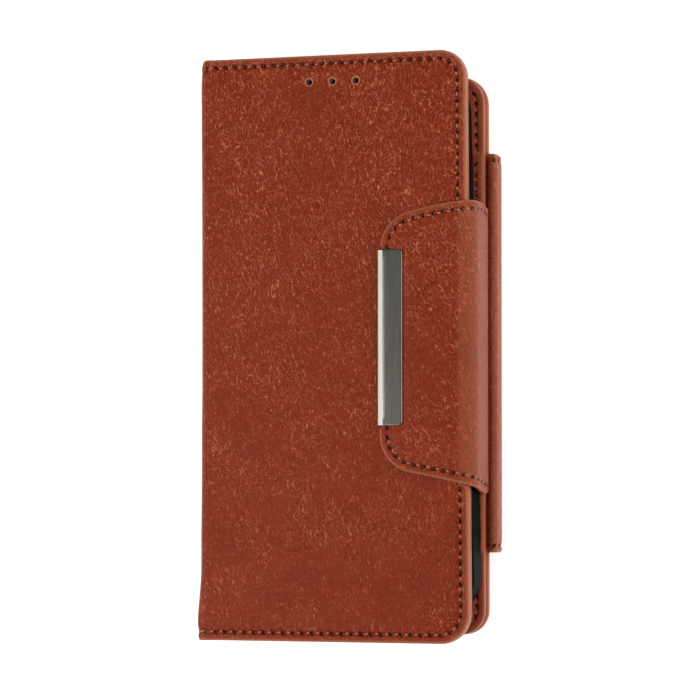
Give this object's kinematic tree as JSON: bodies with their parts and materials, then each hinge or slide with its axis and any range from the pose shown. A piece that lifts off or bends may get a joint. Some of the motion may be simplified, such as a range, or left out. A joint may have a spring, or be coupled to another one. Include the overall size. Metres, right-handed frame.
{
  "type": "phone wallet case",
  "caption": "Tri-fold leather phone case with a book-style front cover, phone tray, rear wallet leaf, card slots and a magnetic closing strap with a steel bar.",
  "frame": {"origin": "centre of the closed case's footprint, on the surface that it lies on", "axes": "+X from the book spine to the opening side with the strap, +Y up the case to the phone's top, +Z from the wallet leaf to the front cover"},
  "size_m": [0.0856, 0.1686, 0.0269],
  "materials": {
    "tan_leather": "semi-matt pull-up leather, cognac brown, fine grain",
    "brown_lining": "matt dark brown synthetic leather lining",
    "grey_board": "matt grey stiffening board",
    "black_tpu": "satin black flexible TPU with fine ribs",
    "brushed_steel": "brushed steel, brushed across its width",
    "plate_steel": "plain rolled steel",
    "magnet_nickel": "nickel-plated magnet"
  },
  "bodies": {
    "wallet_leaf": {"leaf_outer_skin": "tan_leather", "leaf_board": "grey_board", "leaf_lining": "brown_lining", "leaf_pocket": "brown_lining", "leaf_magnet_1": "magnet_nickel", "leaf_magnet_2": "magnet_nickel", "leaf_card_slot_1": "tan_leather", "leaf_card_slot_2": "tan_leather", "leaf_card_slot_3": "tan_leather"},
    "wallet_hinge": {"wallet_hinge_skin": "tan_leather", "wallet_hinge_lining": "brown_lining"},
    "back_cover": {"back_outer_skin": "tan_leather", "back_lining": "brown_lining", "back_board": "grey_board", "tray_backing": "grey_board", "phone_tray": "black_tpu", "strap_anchor": "tan_leather", "back_steel_plate_1": "plate_steel", "back_steel_plate_2": "plate_steel"},
    "spine": {"spine_skin": "tan_leather", "spine_board": "grey_board", "spine_lining": "brown_lining"},
    "front_cover": {"front_outer_skin": "tan_leather", "front_board": "grey_board", "front_lining": "brown_lining", "front_steel_plate": "plate_steel", "money_pocket": "brown_lining", "card_slot_1": "tan_leather", "card_slot_2": "tan_leather", "card_slot_3": "tan_leather"},
    "strap_side": {"strap_side_skin": "tan_leather", "strap_side_lining": "brown_lining"},
    "strap_tip": {"strap_tip_skin": "tan_leather", "strap_tip_lining": "brown_lining", "strap_stiffener": "grey_board", "strap_magnet_1": "magnet_nickel", "strap_magnet_2": "magnet_nickel", "metal_bar": "brushed_steel"}
  },
  "joints": [
    {"name": "leaf_fold", "type": "hinge", "parent": "wallet_leaf", "child": "wallet_hinge", "pos_m": [0.0418, 0, 0.0025], "axis": [0, 1, 0], "range_deg": [0, 90]},
    {"name": "back_fold", "type": "hinge", "parent": "wallet_hinge", "child": "back_cover", "pos_m": [0.0418, 0, 0.0083], "axis": [0, 1, 0], "range_deg": [0, 90]},
    {"name": "spine_fold", "type": "hinge", "parent": "back_cover", "child": "spine", "pos_m": [-0.0423, 0, 0.0061], "axis": [0, -1, 0], "range_deg": [0, 90]},
    {"name": "cover_fold", "type": "hinge", "parent": "spine", "child": "front_cover", "pos_m": [-0.0423, 0, 0.0235], "axis": [0, -1, 0], "range_deg": [0, 90]},
    {"name": "strap_root_fold", "type": "hinge", "parent": "back_cover", "child": "strap_side", "pos_m": [0.04085, 0, 0.0127], "axis": [0, 1, 0], "range_deg": [0, 90]},
    {"name": "strap_crease_fold", "type": "hinge", "parent": "strap_side", "child": "strap_tip", "pos_m": [0.04085, 0, 0.0254], "axis": [0, 1, 0], "range_deg": [0, 90]}
  ]
}
